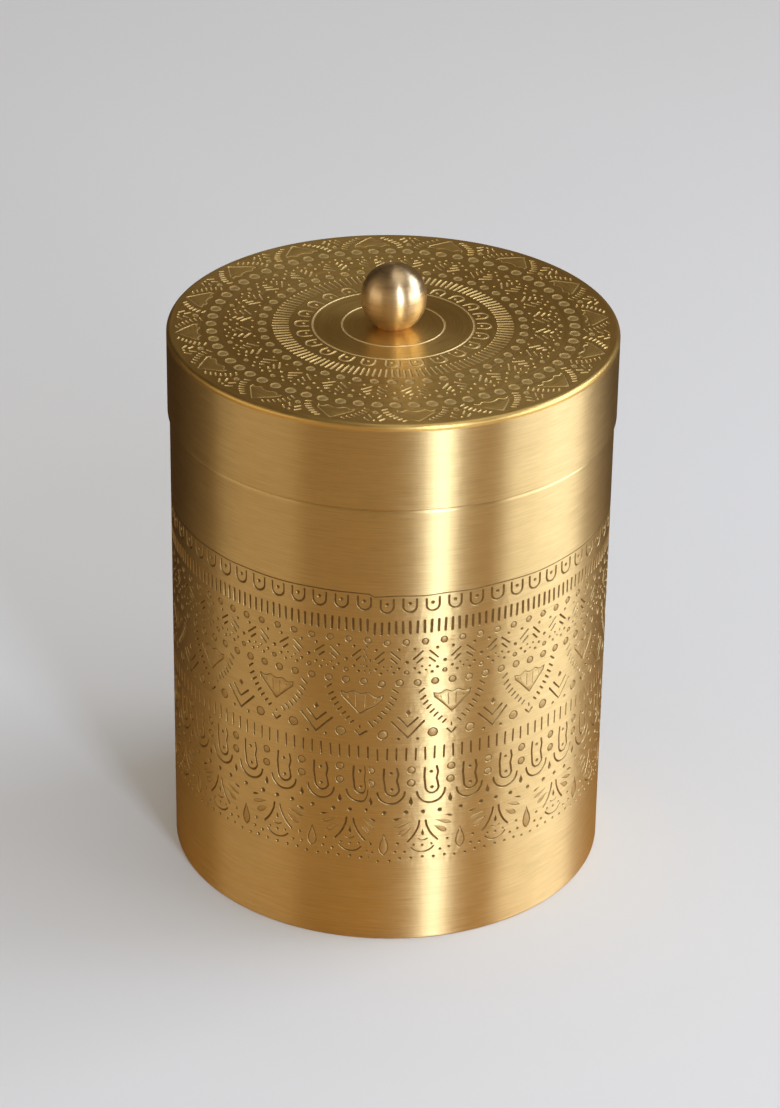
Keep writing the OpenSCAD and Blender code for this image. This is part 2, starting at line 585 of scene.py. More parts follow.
def loose_points(border, cuts, low_y, top_y, gap=1.7, clear=0.4):
    """Points spread over the open parts of a tile, so that no triangle is too wide for the curved wall."""
    xs = [p[0] for p in border]
    out = []
    rows = int((top_y - low_y) / gap)
    for row in range(1, rows + 1):
        y = low_y + (top_y - low_y) * row / (rows + 1)
        columns = int((max(xs) - min(xs)) / gap)
        for column in range(columns + 1):
            p = (min(xs) + gap * (column + 0.5 * (row % 2)), y)
            if not inside(p, border) or gap_to(p, border) < clear:
                continue
            if any(inside(p, cut.rim) or gap_to(p, cut.rim) < clear for cut in cuts):
                continue
            out.append(p)
    return out


# ---------------------------------------------------------------- turned surfaces

def line(r0, z0, r1, z1, steps=1):
    """A straight piece of a turned profile: radius, height and normal at each ring."""
    normal = unit((z1 - z0, r0 - r1))
    return [(r0 + (r1 - r0) * k / steps, z0 + (z1 - z0) * k / steps, normal) for k in range(steps + 1)]


def path(*corners):
    """Straight profile pieces from corner to corner. A corner may also give the steps of the piece to it."""
    return [line(*a[:2], *b) for a, b in zip(corners, corners[1:])]


def bend(r, z, radius, start, end, steps):
    """A round piece of a turned profile about (r, z). It is convex where the angle grows, in degrees."""
    sign = 1 if end > start else -1
    out = []
    for px, pz in arc(r, z, radius, radius, start, end, steps):
        out.append((px, pz, (sign * (px - r) / radius, sign * (pz - z) / radius)))
    return out


def furrow(r, z, half, depth, facing, steps=6):
    """A round-bottomed groove centred on the surface point (r, z). The surface faces 0 (out) or 90 (up)
    degrees, and its profile runs up the wall or inward on the flat."""
    radius = (half * half + depth * depth) / (2 * depth)
    reach = math.degrees(math.asin(half / radius))
    lift = radius - depth
    away = math.radians(facing)
    inner = facing - 180
    middle_r, middle_z = r + lift * math.cos(away), z + lift * math.sin(away)
    return bend(middle_r, middle_z, radius, inner + reach, inner - reach, steps)


def straight(angle, z):
    return z


def turn(skin, pieces, segments, end=None, closed=False, shift=straight, inner=(), grooves=()):
    """Turns profile pieces about Z. The profile runs counter-clockwise: up the outside and down the inside.
    It may end on a ring that is there already. Pieces whose number is in inner get material slot 1, and
    those whose number is in grooves count as etched. Returns the first and the last ring."""
    angles = [TURN * k / segments for k in range(segments)]

    def ring(r, z, etched=0.0):
        if r < 1e-6:
            return [skin.point((0.0, 0.0, z))] * segments
        return [skin.point(polar(r, a, shift(a, z)), etched) for a in angles]

    first = ring(*pieces[0][0][:2])
    finish = [spot for _, spot in end] if end else (first if closed else None)
    last = first
    for number, piece in enumerate(pieces):
        for step, ((_, _, n0), (r1, z1, n1)) in enumerate(zip(piece, piece[1:])):
            at_end = number == len(pieces) - 1 and step == len(piece) - 2
            etched = float(number in grooves and step < len(piece) - 2)
            fresh = finish if at_end and finish else ring(r1, z1, etched)
            for k in range(segments):
                m = (k + 1) % segments
                corners, normals = [], []
                for spot, n, a in (
                    (last[k], n0, angles[k]),
                    (last[m], n0, angles[m]),
                    (fresh[m], n1, angles[m]),
                    (fresh[k], n1, angles[k]),
                ):
                    if spot not in corners:
                        corners.append(spot)
                        normals.append(polar(n[0], a, n[1]))
                skin.face(corners, normals, int(number in inner))
            last = fresh
    return list(zip(angles, first)), list(zip(angles, last))


def loft(skin, loops, closed):
    """Joins a row of equal loops of points with faces, and caps its two ends if it isn't closed."""
    rings = [[skin.point(p) for p in loop] for loop in loops]
    pairs = list(zip(rings, rings[1:]))
    if closed:
        pairs.append((rings[-1], rings[0]))
    for here, there in pairs:
        for k in range(len(here)):
            m = (k + 1) % len(here)
            skin.face([here[k], here[m], there[m], there[k]])
    if not closed:
        skin.face(rings[0][::-1])
        skin.face(rings[-1])


# ---------------------------------------------------------------- body

BAND_TOP = 93.5
BAND_LOW = 21.0
BAND_FADE = 4.0
LINE_Z = 93.15
LINE_HALF = 0.14
LINE_DEPTH = 0.12
SHOULDER_R = 1.3
FOOT_R = 0.5
OUTER_SEGMENTS = 288
SEAM_ANGLE = math.radians(-4.2)
NECK_SEAM_ANGLE = math.pi - 0.3
SEAM_STEP = 0.8


def band_share(z):
    """1 inside the etched band, falling to 0 over the plain sheet above and below it."""
    return max(0.0, min(1.0, (z - BAND_LOW) / BAND_FADE + 1, (BAND_TOP - z) / BAND_FADE + 1))


def wander(angle, z):
    """Small drift of the hand-laid ornament, with its step down just right of the brazed seam, in mm."""
    x, y = 1.6 * math.cos(angle), 1.6 * math.sin(angle)
    drift = 0.28 * noise.noise((4 * x, 4 * y, 0.09 * z))
    past = (angle - SEAM_ANGLE + math.pi) % TURN - math.pi
    rise = 1 / (1 + math.exp(-past * BODY_R / 0.16)) if abs(past) < 0.5 else float(past > 0)
    step = -SEAM_STEP * rise * math.exp(-max(past, 0) / 0.16)
    return (drift + step) * band_share(z)


def wandered(angle, z):
    return z + wander(angle, z)


class Wall:
    """Puts the ornament on the body's outer wall. side and rise are its directions along and up the row."""

    def __call__(self, angle, z, depth):
        return polar(BODY_R - depth, angle, wandered(angle, z))

    def radius(self, strip):
        return BODY_R

    def up(self, angle):
        return polar(1.0, angle, 0.0)

    def side(self, angle):
        return (math.cos(angle), math.sin(angle), 0.0)

    def rise(self, angle):
        return (0.0, 0.0, 1.0)


def body_strips():
    """The body's rows of ornament, from the top down: count, start, high, low and motif of each."""
    round_body = TURN * BODY_R
    return [
        Strip(63, 92.6, 92.75, 88.0, arch_motif(), phase=-0.45),
        Strip(201, 86.8, 87.3, 82.6, dash_motif()),
        Strip(75, 81.1, 82.3, 79.95, coin_motif(0.95), phase=-0.4),
        Strip(37, 79.75, 79.85, 72.1, chevron_motif(), edge=[(3.42, 0), (3.42, -9)], phase=-0.25, slip=3.8),
        Strip(80, 70.35, 71.7, 69.15, coin_motif(1.03), phase=-1.5),
        Strip(16, 68.85, 69.0, 54.7, fan_motif(round_body / 16), phase=-5.5, slip=-0.9, edge=[
            (10.2, 0), (10.2, -1.3), (9.5, -3.3), (6.8, -6.4), (5.2, -8.85), (6.6, -11.3), (6.6, -14),
        ]),
        Strip(148, 53.2, 53.7, 49.0, dash_motif(width=0.5)),
        Strip(35, 48.4, 48.7, 37.1, cup_motif(round_body / 35), phase=1.0, slip=2.1, edge=[
            (2.6, 0), (2.6, -5.2), (3.9, -6.9), (3.9, -11),
        ]),
        Strip(18, 36.4, 36.5, 21.2, palmette_motif(round_body / 18), phase=8.6, slip=1.1, edge=[
            (7.85, 0), (7.45, -4.0), (7.2, -11.5), (6.6, -12.8), (6.6, -15),
        ]),
    ]


def lay_strips(skin, strips, place, chance, above, below):
    """Lays strips from the ring above down to the ring below, and joins them."""
    for strip in strips:
        low, high = lay_strip(skin, strip, place, place.radius(strip), chance)
        zip_rings(skin, high, above, place.up)
        above = low
    zip_rings(skin, below, above, place.up)


def make_body(materials):
    skin = Skin()
    reach = BODY_R - SHOULDER_R
    shoulder_z = BODY_TOP - math.sqrt(SHOULDER_R ** 2 - (BODY_IN_R - reach) ** 2)
    shoulder_end = math.degrees(math.acos((BODY_IN_R - reach) / SHOULDER_R))
    pieces = [
        line(BODY_R, BAND_TOP - 0.6, BODY_R, LINE_Z - LINE_HALF),
        furrow(BODY_R, LINE_Z, LINE_HALF, LINE_DEPTH, 0),
        line(BODY_R, LINE_Z + LINE_HALF, BODY_R, shoulder_z, 8),
        bend(reach, shoulder_z, SHOULDER_R, 0, shoulder_end, 10),
        line(BODY_IN_R, BODY_TOP, BODY_IN_R, 0.0, 6),
        line(BODY_IN_R, 0.0, BODY_R - FOOT_R, 0.0),
        bend(BODY_R - FOOT_R, FOOT_R, FOOT_R, -90, 0, 6),
        line(BODY_R, FOOT_R, BODY_R, BAND_LOW - 0.1, 6),
    ]
    first, last = turn(skin, pieces, OUTER_SEGMENTS, shift=wandered, inner=(4, 5), grooves=(1,))
    lay_strips(skin, body_strips(), Wall(), random.Random(SEED), first, last)
    skin.build("etched_body", "tin_body", ["body_shell"], materials)


# ---------------------------------------------------------------- lid

LID_EDGE_R = 1.0
FIELD_IN_R = 19.05
FIELD_OUT_R = 50.98
RING_RADII = (18.7, 11.9)
RING_HALF = 0.26
RING_DEPTH = 0.2
HOLE_R = 2.15
SKIRT_EDGE_R = 0.3


class LidTop:
    """Puts the ornament on the lid's top plate. Heights are radii with a minus sign, so a row's upper side
    is towards the knob."""

    def __call__(self, angle, height, depth):
        return polar(-height, angle, LID_TOP - depth)

    def radius(self, strip):
        return -(strip.high + strip.low) / 2

    def up(self, angle):
        return (0.0, 0.0, 1.0)

    def side(self, angle):
        return (math.cos(angle), math.sin(angle), 0.0)

    def rise(self, angle):
        return polar(-1.0, angle, 0.0)


def lid_strips():
    """The lid's rows of ornament, from the middle out."""
    fan_pitch = TURN * 47.0 / 16
    arches = arch_motif(height=3.7, line=0.62)
    dashes = dash_motif(length=4.1, width=0.64)
    chevrons = chevron_motif(layers=3, wide=1.06, line=0.62)
    fans = fan_motif(fan_pitch, tall=5.8, drop=-0.75, squeeze=0.7, dashes=7, full=False, line=0.6)
    return [
        Strip(24, -19.35, -19.1, -23.5, gentler(arches)),
        Strip(120, -24.0, -23.8, -28.25, gentler(dashes)),
        Strip(48, -30.35, -28.9, -31.8, coin_motif(1.18, FILLED)),
        Strip(24, -32.1, -31.95, -39.85, gentler(chevrons), phase=5.4, edge=[(3.65, 0), (3.65, -9)]),
        Strip(64, -42.05, -40.45, -43.65, coin_motif(1.42, FILLED), phase=0.85),
        Strip(16, -44.05, -43.75, -50.95, gentler(fans), phase=5.6, edge=[
            (8.8, 0), (8.5, -0.8), (8.0, -2.0), (7.25, -3.05),
            (6.7, -4.0), (6.0, -4.9), (5.4, -6.0), (5.4, -8),
        ]),
    ]


def make_lid_plate(materials):
    skin = Skin()
    pieces = []
    radius = FIELD_IN_R
    for ring in RING_RADII:
        pieces.append(line(radius, LID_TOP, ring + RING_HALF, LID_TOP))
        pieces.append(furrow(ring, LID_TOP, RING_HALF, RING_DEPTH, 90))
        radius = ring - RING_HALF
    under = len(pieces) + 1
    edge_in_r, edge_z = LID_R - LID_EDGE_R, LID_TOP - LID_EDGE_R
    pieces += path(
        (radius, LID_TOP), (HOLE_R, LID_TOP, 4), (HOLE_R, PLATE_Z),
        (LID_R, PLATE_Z, 8), (LID_R, edge_z),
    )
    pieces.append(bend(edge_in_r, edge_z, LID_EDGE_R, 0, 90, 10))
    pieces.append(line(edge_in_r, LID_TOP, FIELD_OUT_R, LID_TOP))
    first, last = turn(skin, pieces, OUTER_SEGMENTS, inner=(under, under + 1), grooves=(1, 3))
    lay_strips(skin, lid_strips(), LidTop(), random.Random(SEED + 1), first, last)
    skin.build("etched_lid_plate", "lid", ["lid_plate"], materials)


def make_skirt(materials):
    edge = SKIRT_EDGE_R
    low = SEAM_Z + edge
    skin = Skin()
    pieces = [
        bend(SKIRT_IN_R + edge, low, edge, -180, -90, 4),
        line(SKIRT_IN_R + edge, SEAM_Z, LID_R - edge, SEAM_Z),
        bend(LID_R - edge, low, edge, -90, 0, 5),
    ]
    pieces += path((LID_R, low), (LID_R, PLATE_Z, 10), (SKIRT_IN_R, PLATE_Z), (SKIRT_IN_R, low, 4))
    turn(skin, pieces, OUTER_SEGMENTS, closed=True, inner=(4, 5))
    skin.build("lid_skirt_ring", "lid", ["lid_skirt"], materials)


# ---------------------------------------------------------------- neck and base

BEVEL = 0.15


def make_neck(materials):
    low = bottom("neck_collar")
    edge = (NECK_R - NECK_IN_R) / 2
    skin = Skin()
    pieces = path(
        (NECK_IN_R + BEVEL, low), (NECK_R - BEVEL, low), (NECK_R, low + BEVEL), (NECK_R, NECK_TOP - edge, 8),
    )
    pieces.append(bend(NECK_R - edge, NECK_TOP - edge, edge, 0, 180, 10))
    pieces += path((NECK_IN_R, NECK_TOP - edge), (NECK_IN_R, low + BEVEL, 8), (NECK_IN_R + BEVEL, low))
    turn(skin, pieces, OUTER_SEGMENTS, closed=True)
    skin.build("neck_ring", "tin_body", ["neck_collar"], materials)


def make_base(materials):
    low, high = bottom("base_disc"), top("base_disc")
    skin = Skin()
    pieces = path(
        (0.0, low), (BODY_IN_R - BEVEL, low, 6), (BODY_IN_R, low + BEVEL),
        (BODY_IN_R, high - BEVEL), (BODY_IN_R - BEVEL, high), (0.0, high, 6),
    )
    turn(skin, pieces, 144)
    skin.build("base_plate", "tin_body", ["base_disc"], materials)


# ---------------------------------------------------------------- brazed joints

def round_the_tin(skin, r, z, out, rise, seed, steps=240):
    """A fillet of brazing metal in the corner at (r, z). It reaches out along r and rise along z."""
    loops = []
    for k in range(steps):
        angle = TURN * k / steps
        spot = (3 * math.cos(angle), 3 * math.sin(angle), seed)
        across = out * (1 + 0.3 * noise.noise(spot) + 0.15 * noise.noise((4 * spot[0], 4 * spot[1], seed)))
        along = rise * (1 + 0.3 * noise.noise((spot[0], spot[1], seed + 5)))
        section = [(0.0, 0.0), (0.0, along), (across * 0.12, along * 0.55), (across * 0.4, along * 0.26)]
        section += [(across * 0.7, along * 0.1), (across, 0.0)]
        if out * rise < 0:
            section.reverse()
        loops.append([polar(r + x, angle, z + y) for x, y in section])
    loft(skin, loops, closed=True)


BEAD_ROOT = 0.12
BEAD_STEP = 0.6


def up_the_wall(skin, r, low, high, angle, half, proud, seed):
    """An upright bead of brazing metal on the inside of a wall of radius r. It stands proud and varies."""
    loops = []
    steps = round((high - low) / BEAD_STEP)
    for k in range(steps + 1):
        z = low + (high - low) * k / steps
        drift = 0.1 * noise.noise((0.0, 0.35 * z, seed))
        width = half * (1 + 0.35 * noise.noise((5.0, 0.8 * z, seed)))
        lift = -proud * (1 + 0.5 * noise.noise((9.0, 0.9 * z, seed)))
        ends = min(1.0, 0.25 + (z - low) / 0.8, 0.25 + (high - z) / 0.8)
        section = [(1.0, BEAD_ROOT), (1.0, 0.0), (0.55, 0.8 * lift), (0.0, lift)]
        section += [(-0.55, 0.8 * lift), (-1.0, 0.0), (-1.0, BEAD_ROOT)]
        loops.append([polar(r + y, angle + (drift + x * width * ends) / r, z) for x, y in section])
    loft(skin, loops, closed=False)


def make_joints(materials):
    base_top, neck_low = top("base_disc"), bottom("neck_collar")
    skin = Skin()
    body_seam = dict(angle=SEAM_ANGLE, half=0.7, proud=0.12, seed=2.0)
    neck_seam = dict(angle=NECK_SEAM_ANGLE, half=0.5, proud=0.08, seed=3.0)
    up_the_wall(skin, BODY_IN_R, base_top + 0.4, neck_low - 0.2, **body_seam)
    up_the_wall(skin, NECK_IN_R, neck_low + 0.3, NECK_TOP - 0.7, **neck_seam)
    skin.build("seam_braze", "tin_body", [], materials)
    skin = Skin()
    round_the_tin(skin, BODY_IN_R, base_top, out=-1.6, rise=1.3, seed=4.0)
    round_the_tin(skin, BODY_IN_R, bottom("base_disc"), out=-0.8, rise=-0.8, seed=5.0)
    round_the_tin(skin, BODY_IN_R, neck_low, out=-0.75, rise=-0.9, seed=6.0)
    skin.build("corner_braze", "tin_body", [], materials)
    skin = Skin()
    round_the_tin(skin, SKIRT_IN_R, PLATE_Z, out=-1.0, rise=-1.0, seed=7.0)
    skin.build("lid_braze", "lid", [], materials)


# ---------------------------------------------------------------- knob and its fasteners

KNOB_WAIST = 0.9
KNOB_FOOT_R = 3.7
KNOB_HOLE_R = 2.03
KNOB_HOLE_DEPTH = 7.0


def make_knob(materials):
    skin = Skin()
    middle = LID_TOP + math.sqrt(KNOB_R ** 2 - KNOB_FOOT_R ** 2)
    start = math.degrees(math.asin((LID_TOP - middle) / KNOB_R))
    outside = [
        bend(0.0, middle, KNOB_R, start, 0, 24),
        line(KNOB_R, middle, KNOB_R, middle + KNOB_WAIST, 2),
        bend(0.0, middle + KNOB_WAIST, KNOB_R, 0, 90, 36),
    ]
    hole_top = LID_TOP + KNOB_HOLE_DEPTH
    hole = path((0.0, hole_top), (KNOB_HOLE_R, hole_top), (KNOB_HOLE_R, LID_TOP), (KNOB_FOOT_R, LID_TOP))
    foot, _ = turn(skin, outside, 96)
    turn(skin, hole, 96, end=foot)
    skin.build("ball_knob", "lid", ["knob"], materials)


def make_washer(materials):
    low, high, bevel = bottom("knob_washer"), top("knob_washer"), 0.12
    inner, outer = WASHER_IN_R + bevel, WASHER_R - bevel
    skin = Skin()
    pieces = path(
        (inner, low), (outer, low), (WASHER_R, low + bevel), (WASHER_R, high - bevel), (outer, high),
        (inner, high), (WASHER_IN_R, high - bevel), (WASHER_IN_R, low + bevel), (inner, low),
    )
    turn(skin, pieces, 64, closed=True)
    skin.build("steel_washer", "lid", ["knob_washer"], materials)


SCREW_R = 2.0
HEAD_R = 4.0
DOME_R = 6.0
CROSS_HALF_WIDTH = 0.55
CROSS_HALF_LENGTH = 2.2
CROSS_DEPTH = 1.4


def make_screw(materials):
    """Pan-head screw with its head down. The head's face is a dome with a cross recess, seen from below."""
    segments = 48
    dome_z = SCREW_HEAD_Z + DOME_R
    seat_z, tip_z = bottom("knob_washer"), top("knob_screw")
    ease, chamfer = 0.1, 0.4
    skin = Skin()
    head_low = dome_z - math.sqrt(DOME_R ** 2 - HEAD_R ** 2)
    pieces = path(
        (HEAD_R, head_low), (HEAD_R, seat_z - ease, 2), (HEAD_R - ease, seat_z), (SCREW_R, seat_z),
        (SCREW_R, tip_z - chamfer, 4), (SCREW_R - chamfer, tip_z), (0.0, tip_z),
    )
    rim, _ = turn(skin, pieces, segments)

    wide, long = CROSS_HALF_WIDTH, CROSS_HALF_LENGTH
    cross = []
    for quarter in range(4):
        c, s = round(math.cos(quarter * TURN / 4)), round(math.sin(quarter * TURN / 4))
        cross += [(x * c - y * s, x * s + y * c) for x, y in ((wide, wide), (wide, long), (-wide, long))]
    recess = Cut(cross, run=0.14, depth=CROSS_DEPTH)

    def dome(x, y):
        return dome_z - math.sqrt(DOME_R ** 2 - x * x - y * y)

    sheet = Sheet()
    for angle, spot in rim[::-1]:
        sheet.add((HEAD_R * math.sin(angle), HEAD_R * math.cos(angle)), spot)
    sheet.outline(segments, "dome")
    for floor, (loop, _, _) in enumerate(recess.loops):
        for (x, y), inward in zip(loop, recess.inward):
            z = SCREW_HEAD_Z + CROSS_DEPTH if floor else dome(x, y)
            sheet.add((x, y), skin.point((x, -y, z), float(floor)), inward)
        sheet.outline(len(loop), "floor" if floor else "wall")
    # Rings of extra points keep the dome round.
    for radius in (1.3, 2.0, 2.8, 3.45):
        for x, y in arc(0, 0, radius, radius, 0, 345, 23):
            if not inside((x, y), recess.rim) and gap_to((x, y), recess.rim) > 0.2:
                sheet.add((x, y), skin.point((x, -y, dome(x, y))))
    for corners, area in sheet.triangles():
        normals = []
        for k in corners:
            x, y = sheet.flat[k]
            normal = Vector((x, -y, dome(x, y) - dome_z))
            if area == "wall":
                normal = Vector((sheet.marks[k][0], -sheet.marks[k][1], -0.1))
            elif area == "floor":
                normal = Vector((0.0, 0.0, -1.0))
            normals.append(normal.normalized())
        skin.face([sheet.spots[k] for k in corners], normals)
    skin.build("pan_screw", "lid", ["knob_screw"], materials)


# ---------------------------------------------------------------- materials

class Recipe:
    """The node tree of a material or a world, built a node at a time."""

    def __init__(self, owner):
        owner.use_nodes = True
        self.owner = owner
        self.tree = owner.node_tree

    def add(self, kind, inputs=(), **settings):
        """Adds a node. Each input is a socket to link, or a plain value."""
        node = self.tree.nodes.new("ShaderNode" + kind)
        for key, value in settings.items():
            setattr(node, key, value)
        for key, value in dict(inputs).items():
            self.feed(node, key, value)
        return node

    def feed(self, node, key, value):
        if isinstance(value, bpy.types.NodeSocket):
            self.tree.links.new(value, node.inputs[key])
        else:
            node.inputs[key].default_value = value

    def math(self, operation, a, b):
        return self.add("Math", {0: a, 1: b}, operation=operation).outputs[0]

    def noise(self, vector, scale, detail=2.0, rough=0.5):
        inputs = {"Vector": vector, "Scale": scale, "Detail": detail, "Roughness": rough}
        return self.add("TexNoise", inputs).outputs["Fac"]

    def spread(self, value, low, high, to_low=0.0, to_high=1.0):
        """Maps a value's range low..high to another, held at its ends."""
        inputs = {"Value": value, "From Min": low, "From Max": high, "To Min": to_low, "To Max": to_high}
        return self.add("MapRange", inputs).outputs[0]

    def blend(self, share, a, b, kind="MIX"):
        node = self.add("Mix", data_type="RGBA", blend_type=kind)
        for key, value in ((0, share), (6, a), (7, b)):
            self.feed(node, key, value)
        return node.outputs[2]

    def bump(self, height, distance, normal=None, strength=1.0):
        inputs = {"Height": height, "Distance": distance, "Strength": strength}
        if normal:
            inputs["Normal"] = normal
        return self.add("Bump", inputs).outputs[0]

    def turned_coordinates(self, round_scale, cross_scale):
        """Object coordinates stretched so that noise makes lines round the axis, on a wall or a flat top."""
        place = self.add("TexCoord").outputs["Object"]
        parts = self.add("SeparateXYZ", {0: place}).outputs
        flat = self.add("CombineXYZ", {0: parts[0], 1: parts[1]}).outputs[0]
        radius = self.add("VectorMath", {0: flat}, operation="LENGTH").outputs["Value"]
        level = self.math("ADD", parts[2], radius)
        inputs = {
            0: self.math("MULTIPLY", parts[0], round_scale),
            1: self.math("MULTIPLY", parts[1], round_scale),
            2: self.math("MULTIPLY", level, cross_scale),
        }
        return self.add("CombineXYZ", inputs).outputs[0]

    def finish(self, color, rough, normal, metallic=1.0, stretch=0.0):
        """Feeds the material's shader. stretch is how far highlights stretch across the turned lines."""
        values = {"Base Color": color, "Roughness": rough, "Metallic": metallic, "Normal": normal}
        if stretch:
            values["Anisotropic"] = stretch
            values["Anisotropic Rotation"] = 0.25
            values["Tangent"] = self.add("Tangent", direction_type="RADIAL", axis="Z").outputs[0]
        for key, value in values.items():
            self.feed(self.tree.nodes["Principled BSDF"], key, value)
        return self.owner


def new_material(name):
    return Recipe(bpy.data.materials.new(name))


# Dark brass colour: real tarnish in the random patches, and patina plus painted shade in the recesses.
TARNISH_AND_SHADE = (0.21, 0.125, 0.04, 1)


def turned_metal(
    name, bright, dark, rough, stretch, painted_glint=None, satin=0.0, shade_and_patina=0.85, grain=1e-5, wave=6e-5
):
    """Metal brushed or turned round the tin's axis. Its recesses darken towards their floors, partly patina
    and partly painted shade, by as much as its shade-and-patina strength says, and it is a little tarnished
    in patches.
    When a recess colour is given, the recesses have that brighter colour instead, a painted glint, and satin
    is how far they scatter light like a chalky surface. grain and wave are the heights of its fine lines and
    its slow waves, in metres."""
    r = new_material(name)
    place = r.add("TexCoord").outputs["Object"]
    lines = r.noise(r.turned_coordinates(150.0, 4000.0), 1.0, 3.0, 0.6)
    bands = r.noise(r.turned_coordinates(40.0, 900.0), 1.0, 3.0, 0.6)
    patches = r.noise(place, 38.0, 4.0, 0.6)
    peel = r.noise(place, 900.0, 2.0)
    dents = r.noise(place, 420.0, 2.0)
    waves = r.noise(place, 24.0, 1.0)
    etched = r.add("Attribute", attribute_name="etched").outputs["Fac"]
    worked = r.add("Attribute", attribute_name="worked").outputs["Fac"]
    recess = r.spread(etched, 0.0, 0.25)

    tone = r.math("ADD", r.math("MULTIPLY", patches, 0.6), r.math("MULTIPLY", bands, 0.4))
    color = r.blend(r.spread(tone, 0.35, 0.65), dark, bright)
    shade = r.spread(lines, 0.3, 0.7, 0.88, 1.06)
    color = r.blend(1.0, color, r.add("CombineColor", {0: shade, 1: shade, 2: shade}).outputs[0], "MULTIPLY")
    # Patina and painted shade in the recesses, deepest at their floors; where a recess colour is given, a
    # painted glint instead.
    held = r.spread(etched, 0.25, 1.0) if painted_glint else r.math("POWER", etched, 0.7)
    held = r.math("MULTIPLY", held, r.spread(peel, 0.3, 0.7, shade_and_patina - 0.12, shade_and_patina + 0.08))
    film = r.spread(patches, 0.55, 0.8, 0.0, 0.16)
    color = r.blend(film, color, TARNISH_AND_SHADE)
    color = r.blend(held, color, painted_glint or TARNISH_AND_SHADE)

    worn = r.spread(lines, 0.3, 0.7, rough - 0.05, rough + 0.05)
    worn = r.math("ADD", worn, r.math("MULTIPLY", recess, 0.1))
    normal = r.bump(waves, wave)
    normal = r.bump(dents, 5.5e-5, normal, r.spread(worked, 0.0, 1.0, 0.1, 1.0))
    normal = r.bump(peel, grain * 0.7, normal)
    normal = r.bump(lines, grain, normal)
    direction = r.spread(recess, 0.0, 1.0, stretch, 0.2)
    metallic = r.math("SUBTRACT", 1.0, r.math("MULTIPLY", held, satin))
    return r.finish(color, worn, normal, metallic, stretch=direction)


def braze_metal():
    """Brazing alloy as it set: duller and rounder than the sheet, with small ripples and dark flux."""
    r = new_material("braze_alloy")
    place = r.add("TexCoord").outputs["Object"]
    blotch = r.noise(place, 260.0, 4.0, 0.65)
    ripple = r.noise(place, 1300.0, 3.0)
    color = r.blend(r.spread(blotch, 0.4, 0.65), (0.62, 0.47, 0.24, 1), (0.33, 0.23, 0.12, 1))
    rough = r.spread(ripple, 0.3, 0.7, 0.34, 0.5)
    return r.finish(color, rough, r.bump(ripple, 3e-5, r.bump(blotch, 6e-5)))


def zinc_steel():
    """Zinc plate: pale blue-grey with a fine crystal cloud, and darker towards the floor of its cross
    recess.
    """
    r = new_material("zinc_steel")
    place = r.add("TexCoord").outputs["Object"]
    cells = r.add("TexVoronoi", {"Vector": place, "Scale": 1600.0}).outputs["Color"]
    cloud = r.noise(place, 420.0, 3.0)
    color = r.blend(r.spread(cloud, 0.35, 0.65), (0.53, 0.55, 0.58, 1), (0.7, 0.71, 0.72, 1))
    color = r.blend(0.08, color, cells, "OVERLAY")
    # Darker towards the floor of the cross recess.
    recess_darkening = r.add("Attribute", attribute_name="etched").outputs["Fac"]
    color = r.blend(r.math("MULTIPLY", recess_darkening, 0.7), color, (0.12, 0.11, 0.1, 1))
    fine = r.noise(r.turned_coordinates(80.0, 5000.0), 1.0, 2.0)
    rough = r.spread(cloud, 0.3, 0.7, 0.26, 0.38)
    return r.finish(color, rough, r.bump(fine, 4e-6), stretch=0.3)


# ---------------------------------------------------------------- room, light and camera

def floor_material():
    """Pale, even floor. Reflections in the brass see it as warm, varnished wood, dark behind the tin."""
    r = new_material("studio_floor")
    place = r.add("TexCoord").outputs["Object"]
    mottle = r.noise(place, 3.0, 3.0)
    pale = r.blend(mottle, (0.74, 0.72, 0.69, 1), (0.79, 0.77, 0.745, 1))
    glossy = r.add("LightPath").outputs["Is Glossy Ray"]
    x, y = r.add("SeparateXYZ", {0: place}).outputs[:2]
    behind = r.spread(r.math("SUBTRACT", y, r.math("MULTIPLY", x, 0.3)), 0.0, 0.16)
    reach = r.add("VectorMath", {0: place}, operation="LENGTH").outputs["Value"]
    front = r.blend(r.spread(reach, 0.06, 0.17), (0.6, 0.31, 0.08, 1), (0.45, 0.27, 0.125, 1))
    wood = r.blend(behind, front, (0.08, 0.04, 0.018, 1))
    color = r.blend(glossy, pale, wood)
    rough = r.spread(glossy, 0.0, 1.0, 0.85, 0.28)
    return r.finish(color, rough, r.bump(mottle, 1e-4), metallic=0.0)


def make_floor():
    half, steps = 3.0, 12
    marks = [half * (2 * k / steps - 1) for k in range(steps + 1)]
    corners = [row * (steps + 1) + column for row in range(steps) for column in range(steps)]
    faces = [(corner, corner + 1, corner + steps + 2, corner + steps + 1) for corner in corners]
    mesh = bpy.data.meshes.new("floor")
    mesh.from_pydata([(x, y, 0.0) for y in marks for x in marks], [], faces)
    mesh.materials.append(floor_material())
    floor = bpy.data.objects.new("floor", mesh)
    bpy.context.scene.collection.objects.link(floor)


def make_world():
    """An even pale room. Reflections see it tan on the camera's side, and dark behind and overhead."""
    world = bpy.data.worlds.new("room")
    bpy.context.scene.world = world
    r = Recipe(world)
    x, y, z = r.add("SeparateXYZ", {0: r.add("TexCoord").outputs["Generated"]}).outputs
    front = r.spread(r.math("ADD", x, r.math("MULTIPLY", y, 2.0)), 0.6, -0.9)
    low = r.spread(z, 0.35, 0.75, 1.0, 0.15)
    back = r.blend(r.spread(x, -0.5, 0.1), (0.03, 0.02, 0.012, 1), (0.13, 0.095, 0.055, 1))
    seen = r.blend(r.math("MULTIPLY", front, low), back, (0.38, 0.285, 0.175, 1))
    glossy = r.add("LightPath").outputs["Is Glossy Ray"]
    color = r.blend(glossy, (0.46, 0.45, 0.43, 1), seen)
    r.feed(r.tree.nodes["Background"], "Color", color)


